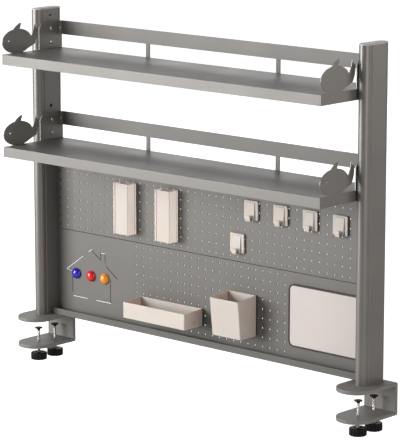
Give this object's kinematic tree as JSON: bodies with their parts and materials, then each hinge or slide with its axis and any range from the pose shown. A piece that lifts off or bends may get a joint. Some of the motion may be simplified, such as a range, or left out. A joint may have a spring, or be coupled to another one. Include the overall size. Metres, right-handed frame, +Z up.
{
  "type": "clamp-on desktop hutch",
  "caption": "Clamp-on desktop hutch: oval posts carry folded steel shelves with whale-shaped bookends over a perforated magnetic panel with hooks, boxes, tray, cup and whiteboard.",
  "frame": {"origin": "middle of the hutch's length, on the desk-top plane under the clamps' upper plates, at the middle of the posts' depth", "axes": "+X along the shelves towards the right post, -Y towards the user, +Z up"},
  "size_m": [0.99, 0.186, 0.782],
  "materials": {
    "frame_paint": "fine powder coat, satin warm grey",
    "zinc_steel": "bright zinc plate",
    "cap_grey": "moulded, matt, close to the paint",
    "pad_rubber": "matt moulded rubber over the swivel",
    "black_plastic": "moulded, semi-matt",
    "cream_plastic": "moulded, fine satin texture",
    "magnet_rubber": "matt magnet sheet",
    "board_white": "smooth dry-wipe enamel",
    "edging_black": "semi-matt",
    "blue_gloss": "glossy",
    "red_gloss": "glossy",
    "orange_gloss": "glossy"
  },
  "bodies": {
    "frame": {"left_post": "frame_paint", "right_post": "frame_paint", "post_caps": "cap_grey", "post_feet": "zinc_steel", "post_foot_screws": "zinc_steel", "left_clamp_bracket": "frame_paint", "right_clamp_bracket": "frame_paint", "clamp_nuts": "zinc_steel", "upper_shelf": "frame_paint", "lower_shelf": "frame_paint", "upper_left_bracket": "frame_paint", "upper_right_bracket": "frame_paint", "lower_left_bracket": "frame_paint", "lower_right_bracket": "frame_paint", "bracket_bolts": "zinc_steel", "rivet_nuts": "zinc_steel", "small_screws": "zinc_steel", "upper_rail": "frame_paint", "lower_rail": "frame_paint", "rail_straps": "frame_paint", "upper_panel": "frame_paint", "lower_panel": "frame_paint", "panel_angles": "frame_paint", "seam_strip": "frame_paint", "ledge": "frame_paint"},
    "left_front_pad": {"left_front_clamp_pad": "pad_rubber"},
    "left_front_screw": {"left_front_clamp_spindle": "zinc_steel", "left_front_clamp_knob": "black_plastic"},
    "left_rear_pad": {"left_rear_clamp_pad": "pad_rubber"},
    "left_rear_screw": {"left_rear_clamp_spindle": "zinc_steel", "left_rear_clamp_knob": "black_plastic"},
    "right_front_pad": {"right_front_clamp_pad": "pad_rubber"},
    "right_front_screw": {"right_front_clamp_spindle": "zinc_steel", "right_front_clamp_knob": "black_plastic"},
    "right_rear_pad": {"right_rear_clamp_pad": "pad_rubber"},
    "right_rear_screw": {"right_rear_clamp_spindle": "zinc_steel", "right_rear_clamp_knob": "black_plastic"},
    "left_pen_box_set": {"left_pen_box": "cream_plastic", "left_pen_box_magnet": "magnet_rubber"},
    "right_pen_box_set": {"right_pen_box": "cream_plastic", "right_pen_box_magnet": "magnet_rubber"},
    "hook_1_set": {"hook_1": "cream_plastic", "hook_1_magnet": "magnet_rubber"},
    "hook_2_set": {"hook_2": "cream_plastic", "hook_2_magnet": "magnet_rubber"},
    "hook_3_set": {"hook_3": "cream_plastic", "hook_3_magnet": "magnet_rubber"},
    "hook_4_set": {"hook_4": "cream_plastic", "hook_4_magnet": "magnet_rubber"},
    "hook_5_set": {"hook_5": "cream_plastic", "hook_5_magnet": "magnet_rubber"},
    "pen_tray_set": {"pen_tray": "cream_plastic", "pen_tray_magnet": "magnet_rubber"},
    "pen_cup_set": {"pen_cup": "cream_plastic", "pen_cup_magnet": "magnet_rubber"},
    "whiteboard_set": {"whiteboard": "board_white", "whiteboard_edging": "edging_black"},
    "blue_magnet_set": {"blue_magnet": "blue_gloss"},
    "red_magnet_set": {"red_magnet": "red_gloss"},
    "orange_magnet_set": {"orange_magnet": "orange_gloss"}
  },
  "joints": [
    {"name": "left_front_pad_lift", "type": "slide", "parent": "frame", "child": "left_front_pad", "axis": [0, 0, 1], "range_m": [-0.02405, 0.00905]},
    {"name": "left_front_screw_turn", "type": "hinge", "parent": "left_front_pad", "child": "left_front_screw", "pos_m": [-0.455, -0.034, -0.057], "axis": [0, 0, 1], "range_deg": [-8640, 3240]},
    {"name": "left_rear_pad_lift", "type": "slide", "parent": "frame", "child": "left_rear_pad", "axis": [0, 0, 1], "range_m": [-0.02405, 0.00905]},
    {"name": "left_rear_screw_turn", "type": "hinge", "parent": "left_rear_pad", "child": "left_rear_screw", "pos_m": [-0.455, 0.016, -0.057], "axis": [0, 0, 1], "range_deg": [-8640, 3240]},
    {"name": "right_front_pad_lift", "type": "slide", "parent": "frame", "child": "right_front_pad", "axis": [0, 0, 1], "range_m": [-0.02405, 0.00905]},
    {"name": "right_front_screw_turn", "type": "hinge", "parent": "right_front_pad", "child": "right_front_screw", "pos_m": [0.455, -0.034, -0.057], "axis": [0, 0, 1], "range_deg": [-8640, 3240]},
    {"name": "right_rear_pad_lift", "type": "slide", "parent": "frame", "child": "right_rear_pad", "axis": [0, 0, 1], "range_m": [-0.02405, 0.00905]},
    {"name": "right_rear_screw_turn", "type": "hinge", "parent": "right_rear_pad", "child": "right_rear_screw", "pos_m": [0.455, 0.016, -0.057], "axis": [0, 0, 1], "range_deg": [-8640, 3240]},
    {"name": "left_pen_box_set_pull", "type": "slide", "parent": "frame", "child": "left_pen_box_set", "axis": [0, -1, 0], "range_m": [0, 0.1]},
    {"name": "right_pen_box_set_pull", "type": "slide", "parent": "frame", "child": "right_pen_box_set", "axis": [0, -1, 0], "range_m": [0, 0.1]},
    {"name": "hook_1_set_pull", "type": "slide", "parent": "frame", "child": "hook_1_set", "axis": [0, -1, 0], "range_m": [0, 0.08]},
    {"name": "hook_2_set_pull", "type": "slide", "parent": "frame", "child": "hook_2_set", "axis": [0, -1, 0], "range_m": [0, 0.08]},
    {"name": "hook_3_set_pull", "type": "slide", "parent": "frame", "child": "hook_3_set", "axis": [0, -1, 0], "range_m": [0, 0.08]},
    {"name": "hook_4_set_pull", "type": "slide", "parent": "frame", "child": "hook_4_set", "axis": [0, -1, 0], "range_m": [0, 0.08]},
    {"name": "hook_5_set_pull", "type": "slide", "parent": "frame", "child": "hook_5_set", "axis": [0, -1, 0], "range_m": [0, 0.08]},
    {"name": "pen_tray_set_pull", "type": "slide", "parent": "frame", "child": "pen_tray_set", "axis": [0, -1, 0], "range_m": [0, 0.1]},
    {"name": "pen_cup_set_pull", "type": "slide", "parent": "frame", "child": "pen_cup_set", "axis": [0, -1, 0], "range_m": [0, 0.1]},
    {"name": "whiteboard_set_pull", "type": "slide", "parent": "frame", "child": "whiteboard_set", "axis": [0, -1, 0], "range_m": [0, 0.06]},
    {"name": "blue_magnet_set_pull", "type": "slide", "parent": "frame", "child": "blue_magnet_set", "axis": [0, -1, 0], "range_m": [0, 0.06]},
    {"name": "red_magnet_set_pull", "type": "slide", "parent": "frame", "child": "red_magnet_set", "axis": [0, -1, 0], "range_m": [0, 0.06]},
    {"name": "orange_magnet_set_pull", "type": "slide", "parent": "frame", "child": "orange_magnet_set", "axis": [0, -1, 0], "range_m": [0, 0.06]}
  ],
  "couplings": [
    {"joint": "left_front_pad_lift", "follows": "left_front_screw_turn", "m_per_rad": 0.00015915},
    {"joint": "left_rear_pad_lift", "follows": "left_rear_screw_turn", "m_per_rad": 0.00015915},
    {"joint": "right_front_pad_lift", "follows": "right_front_screw_turn", "m_per_rad": 0.00015915},
    {"joint": "right_rear_pad_lift", "follows": "right_rear_screw_turn", "m_per_rad": 0.00015915}
  ]
}
